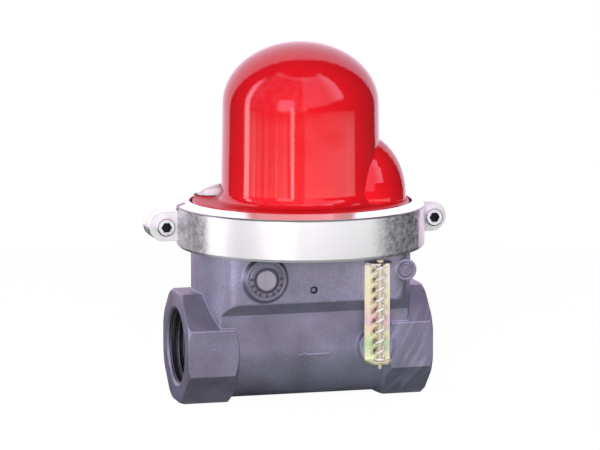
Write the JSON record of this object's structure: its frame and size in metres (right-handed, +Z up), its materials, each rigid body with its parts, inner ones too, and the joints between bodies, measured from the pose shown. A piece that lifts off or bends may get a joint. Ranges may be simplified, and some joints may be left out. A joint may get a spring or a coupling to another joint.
{
  "type": "seismic gas shutoff valve",
  "caption": "Cast inline valve with threaded octagonal ends, clamp ring, domed trip mechanism, swing gate, reset shaft and sprung test plunger.",
  "frame": {"origin": "on the dome's vertical axis at the height of the lowest flats of the octagonal ends", "axes": "+X along the pipe from the outlet end to the inlet end, +Z up the dome, -Y to the front with the reset shaft"},
  "size_m": [0.1344, 0.1084, 0.1556],
  "materials": {
    "cast": "cast, dark anodised, satin",
    "brass": "machined",
    "rubber": "moulded, dull",
    "steel": "machined",
    "plated": "yellow chromate plating",
    "dark_steel": "black oxide",
    "polished": "polished",
    "red_plastic": "glossy moulding",
    "white_plastic": "moulded",
    "lens": "clear",
    "fluid": "pale liquid",
    "magnet": "sintered"
  },
  "bodies": {
    "housing": {"valve_body": "cast", "valve_seat": "brass", "reset_bush": "dark_steel", "gate_spring": "steel", "lever_pin": "steel", "lever_plug": "cast", "mechanism_plate": "steel", "plate_screws": "steel", "pedestal": "steel", "pedestal_screws": "steel", "mass_guard": "steel", "dome_gasket": "rubber", "dome_cover": "red_plastic", "clamp_front": "polished", "clamp_rear": "polished", "clamp_screws": "steel", "level_cup": "white_plastic", "level_lens": "lens", "level_bubble": "fluid", "spring_bracket": "plated", "bracket_screws": "plated", "plunger_spring": "steel", "index_screw": "dark_steel"},
    "gate": {"gate_seal": "rubber", "gate_disc": "brass", "gate_arm": "steel", "gate_nut": "steel", "reset_shaft": "steel", "hub_pin": "steel", "shaft_seal": "rubber"},
    "latch": {"trip_lever": "steel", "magnet_cup": "steel", "latch_magnet": "magnet"},
    "rod": {"pull_rod": "steel"},
    "weight": {"actuator_mass": "brass", "mass_socket": "steel"},
    "plunger": {"plunger_rod": "steel", "plunger_clip": "steel"}
  },
  "joints": [
    {"name": "gate_swing", "type": "hinge", "parent": "housing", "child": "gate", "pos_m": [-0.0235, 0, 0.0562], "axis": [0, 1, 0], "range_deg": [0, 72]},
    {"name": "mass_tilt", "type": "hinge", "parent": "housing", "child": "weight", "pos_m": [0.016, 0, 0.092], "axis": [0, 1, 0], "range_deg": [0, 12]},
    {"name": "rod_lift", "type": "slide", "parent": "housing", "child": "rod", "axis": [0, 0, 1], "range_m": [0, 0.00334]},
    {"name": "latch_lift", "type": "hinge", "parent": "housing", "child": "latch", "pos_m": [0.0393, 0, 0.058], "axis": [0, 1, 0], "range_deg": [0, 4.87]},
    {"name": "plunger_slide", "type": "slide", "parent": "housing", "child": "plunger", "axis": [0, 0, 1], "range_m": [0, 0.0045], "stiffness_N_per_m": 200, "springref_m": -0.001, "deforming": ["plunger_spring"]}
  ],
  "couplings": [
    {"joint": "rod_lift", "follows": "mass_tilt", "m_per_rad": 0.0159},
    {"joint": "latch_lift", "follows": "mass_tilt", "ratio": 0.4046}
  ]
}
